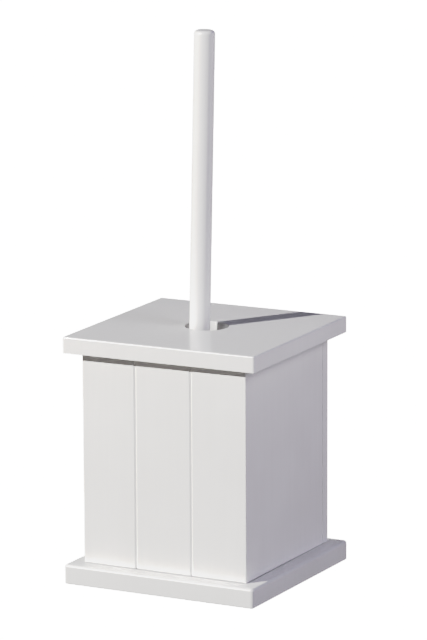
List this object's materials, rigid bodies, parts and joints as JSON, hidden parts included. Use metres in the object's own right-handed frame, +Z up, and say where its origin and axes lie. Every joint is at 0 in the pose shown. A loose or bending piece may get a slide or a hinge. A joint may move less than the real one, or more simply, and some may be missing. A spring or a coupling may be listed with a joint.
{
  "type": "toilet brush holder",
  "caption": "Square white painted wooden box on a wider base, with a loose overhanging lid, holding a toilet brush whose round handle stands through the lid's middle hole, in a drip cup.",
  "frame": {"origin": "on the floor, under the middle of the base plate", "axes": "+Z up along the box, -Y is the front with the grooved planks, +X is the object's right seen from the front"},
  "size_m": [0.1614, 0.1614, 0.4175],
  "materials": {
    "white_paint": "satin white lacquer on MDF and on the round wooden handle",
    "block_wood": "bare sawn softwood",
    "zinc_steel": "bright zinc plated steel",
    "foot_felt": "pressed felt",
    "cup_plastic": "moulded polypropylene, satin",
    "head_plastic": "moulded polypropylene, smooth",
    "bristles": "tufts of stiff white polypropylene bristle"
  },
  "bodies": {
    "holder": {"base_plate": "white_paint", "front_panel": "white_paint", "back_panel": "white_paint", "left_panel": "white_paint", "right_panel": "white_paint", "corner_block_front_left": "block_wood", "corner_block_front_right": "block_wood", "corner_block_back_right": "block_wood", "corner_block_back_left": "block_wood", "base_screw_front_left": "zinc_steel", "base_screw_front_right": "zinc_steel", "base_screw_back_right": "zinc_steel", "base_screw_back_left": "zinc_steel", "foot_pad_front_left": "foot_felt", "foot_pad_front_right": "foot_felt", "foot_pad_back_right": "foot_felt", "foot_pad_back_left": "foot_felt"},
    "drip_cup_body": {"drip_cup": "cup_plastic"},
    "brush_handle": {"handle_rod": "white_paint", "threaded_stud": "zinc_steel"},
    "brush_head": {"brush_core": "head_plastic", "bristle_row_1": "bristles", "bristle_row_2": "bristles", "bristle_row_3": "bristles", "bristle_row_4": "bristles", "bristle_row_5": "bristles", "bristle_row_6": "bristles", "bristle_row_7": "bristles", "bristle_crown": "bristles"},
    "lid": {"lid_board": "white_paint", "lid_batten_front": "white_paint", "lid_batten_back": "white_paint", "lid_batten_left": "white_paint", "lid_batten_right": "white_paint"}
  },
  "joints": [
    {"name": "cup_lift", "type": "slide", "parent": "holder", "child": "drip_cup_body", "axis": [0, 0, 1], "range_m": [0, 0.17]},
    {"name": "brush_lift", "type": "slide", "parent": "drip_cup_body", "child": "brush_handle", "axis": [0, 0, 1], "range_m": [0, 0.2]},
    {"name": "head_screw", "type": "hinge", "parent": "brush_handle", "child": "brush_head", "pos_m": [-0.00718, -0.00431, 0.0215], "axis": [0.0192, 0.01, 0.9998], "continuous": true},
    {"name": "lid_lift", "type": "slide", "parent": "brush_handle", "child": "lid", "axis": [0, 0, 1], "range_m": [0, 0.24]}
  ]
}
